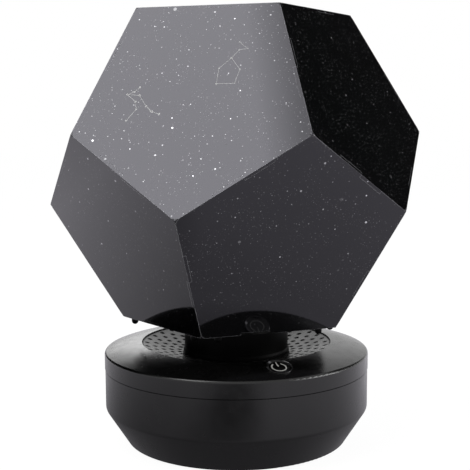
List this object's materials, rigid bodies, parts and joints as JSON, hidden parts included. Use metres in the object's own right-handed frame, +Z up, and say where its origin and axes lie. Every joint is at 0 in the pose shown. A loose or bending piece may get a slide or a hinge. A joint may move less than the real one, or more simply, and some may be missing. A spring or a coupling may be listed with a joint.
{
  "type": "planetarium projector",
  "caption": "Desk planetarium: dodecahedral star globe that turns on a round black speaker base with a perforated bowl grille, a power button and a lamp on a fixed post inside.",
  "frame": {"origin": "on the turning axis, at the surface that the rubber feet stand on", "axes": "+Z up along the turning axis; -Y to the front, where the power button is; +Y to the charge socket"},
  "size_m": [0.1676, 0.1752, 0.2024],
  "materials": {
    "base_plastic": "fine satin moulding",
    "grille_plastic": "satin moulding with round holes",
    "feet_rubber": "matte",
    "screw_steel": "zinc plated",
    "inner_plastic": "plain moulding",
    "white_nylon": "moulded nylon",
    "motor_steel": "pressed steel",
    "frame_steel": "black paint",
    "speaker_paper": "pressed paper pulp",
    "cell_wrap": "shrink sleeve",
    "board_green": "solder mask",
    "chip_black": "epoxy",
    "socket_steel": "nickel plated",
    "sink_aluminium": "machined",
    "lamp_board_white": "white mask",
    "emitter_yellow": "phosphor",
    "neck_plastic": "semi-gloss moulding",
    "floor_plastic": "gloss sheet",
    "button_plastic": "satin moulding",
    "mark_grey": "light grey inlay",
    "star_print": "gloss sheet printed with fine white dots"
  },
  "bodies": {
    "base": {"lower_shell": "base_plastic", "top_cover": "base_plastic", "speaker_grille": "grille_plastic", "rubber_feet": "feet_rubber", "case_screws": "screw_steel", "cover_screws": "screw_steel", "mechanism_deck": "inner_plastic", "thrust_washer": "white_nylon", "retaining_ring": "screw_steel", "retaining_screws": "screw_steel", "motor_body": "motor_steel", "motor_screws": "screw_steel", "speaker_frame": "frame_steel", "speaker_cone": "speaker_paper", "speaker_magnet": "motor_steel", "battery_cell": "cell_wrap", "battery_holder": "inner_plastic", "main_board": "board_green", "board_parts": "chip_black", "board_screws": "screw_steel", "charge_board": "board_green", "charge_socket": "socket_steel", "switch_board": "board_green", "switch_body": "chip_black", "lamp_post": "inner_plastic", "post_screws": "screw_steel", "heat_sink": "sink_aluminium", "lamp_board": "lamp_board_white", "light_emitter": "emitter_yellow"},
    "globe": {"neck_sleeve": "neck_plastic", "ring_gear": "white_nylon", "gear_screws": "screw_steel", "clamp_ring": "inner_plastic", "floor_panel": "floor_plastic", "floor_studs": "neck_plastic", "star_panel_top": "star_print", "star_panel_upper_1": "star_print", "star_panel_upper_2": "star_print", "star_panel_upper_3": "star_print", "star_panel_upper_4": "star_print", "star_panel_upper_5": "star_print", "star_panel_lower_1": "star_print", "star_panel_lower_2": "star_print", "star_panel_lower_3": "star_print", "star_panel_lower_4": "star_print", "star_panel_lower_5": "star_print"},
    "drive": {"motor_shaft": "socket_steel", "drive_pinion": "white_nylon"},
    "button": {"power_button": "button_plastic", "power_mark": "mark_grey", "switch_stem": "chip_black"}
  },
  "joints": [
    {"name": "globe_turn", "type": "hinge", "parent": "base", "child": "globe", "pos_m": [0, 0, 0.05], "axis": [0, 0, 1], "continuous": true},
    {"name": "drive_turn", "type": "hinge", "parent": "base", "child": "drive", "pos_m": [0.0348, 0, 0.036], "axis": [0, 0, 1], "continuous": true},
    {"name": "button_press", "type": "slide", "parent": "base", "child": "button", "axis": [0, 0.2756, -0.9613], "range_m": [0, 0.0008], "stiffness_N_per_m": 400, "springref_m": -0.0004}
  ],
  "couplings": [
    {"joint": "drive_turn", "follows": "globe_turn", "ratio": -4.8}
  ]
}
